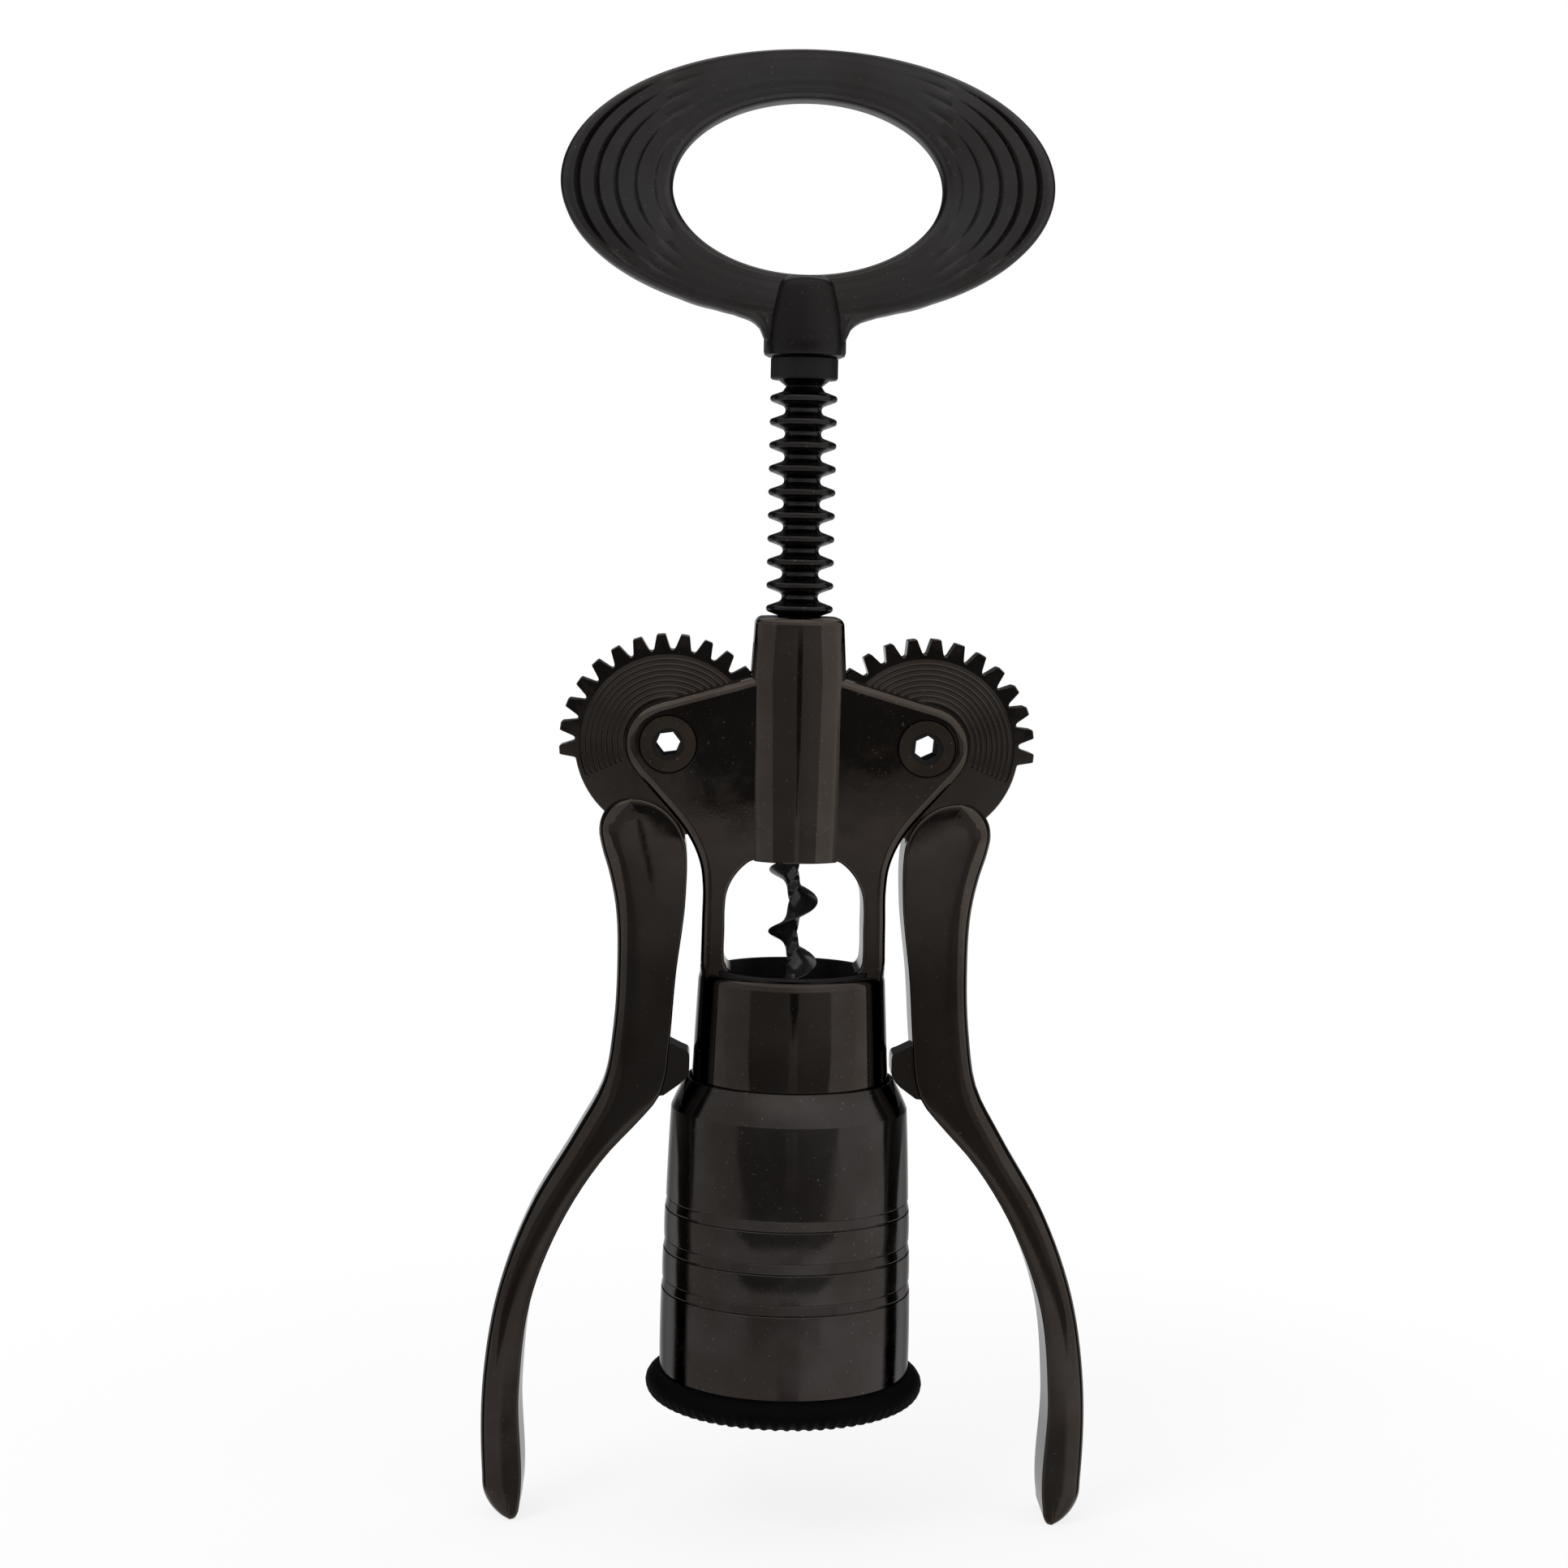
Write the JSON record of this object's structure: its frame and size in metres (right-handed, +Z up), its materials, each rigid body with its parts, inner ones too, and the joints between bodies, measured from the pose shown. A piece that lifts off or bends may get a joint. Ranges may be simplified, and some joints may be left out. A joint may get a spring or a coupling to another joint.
{
  "type": "wing corkscrew",
  "caption": "Wing corkscrew: a toothed spindle with an oval handle and a coiled worm runs in a column and lifts geared side levers, over a bell that sits on a bottle.",
  "frame": {"origin": "on the spindle axis at the bottom rim of the bell, inside the bore that takes the mouth of the bottle", "axes": "+Z up along the spindle to the handle, X from the left lever to the right one, and the front faces -Y"},
  "size_m": [0.0836, 0.0382, 0.2],
  "materials": {
    "plated_metal": "glossy black nickel plate",
    "satin_metal": "satin black nickel plate",
    "spindle_metal": "black oxide, semi-gloss",
    "worm_coating": "glossy black non-stick coating",
    "screw_metal": "satin black nickel plate",
    "black_plastic": "matte moulded",
    "black_rubber": "matte"
  },
  "bodies": {
    "frame": {"frame_casting": "plated_metal", "bell_sleeve": "plated_metal", "neck_liner": "black_plastic", "bottle_ring": "black_rubber", "pivot_screw_left": "screw_metal", "pivot_screw_right": "screw_metal", "pivot_nut_left": "screw_metal", "pivot_nut_right": "screw_metal"},
    "collar": {"stop_collar": "black_plastic"},
    "spindle": {"handle": "satin_metal", "rack_spindle": "spindle_metal", "worm": "worm_coating", "worm_cross_pin": "spindle_metal"},
    "lever_left": {"lever_left": "plated_metal"},
    "lever_right": {"lever_right": "plated_metal"}
  },
  "joints": [
    {"name": "rack_slide", "type": "slide", "parent": "frame", "child": "collar", "axis": [0, 0, -1], "range_m": [0, 0.0315]},
    {"name": "handle_spin", "type": "hinge", "parent": "collar", "child": "spindle", "pos_m": [0, 0, 0.137], "axis": [0, 0, 1], "continuous": true},
    {"name": "lever_left_pivot", "type": "hinge", "parent": "frame", "child": "lever_left", "pos_m": [-0.01745, 0, 0.087], "axis": [0, 1, 0], "range_deg": [0, 129]},
    {"name": "lever_right_pivot", "type": "hinge", "parent": "frame", "child": "lever_right", "pos_m": [0.01745, 0, 0.087], "axis": [0, -1, 0], "range_deg": [0, 129]}
  ],
  "couplings": [
    {"joint": "lever_left_pivot", "follows": "rack_slide", "rad_per_m": 71.429},
    {"joint": "lever_right_pivot", "follows": "rack_slide", "rad_per_m": 71.429}
  ]
}
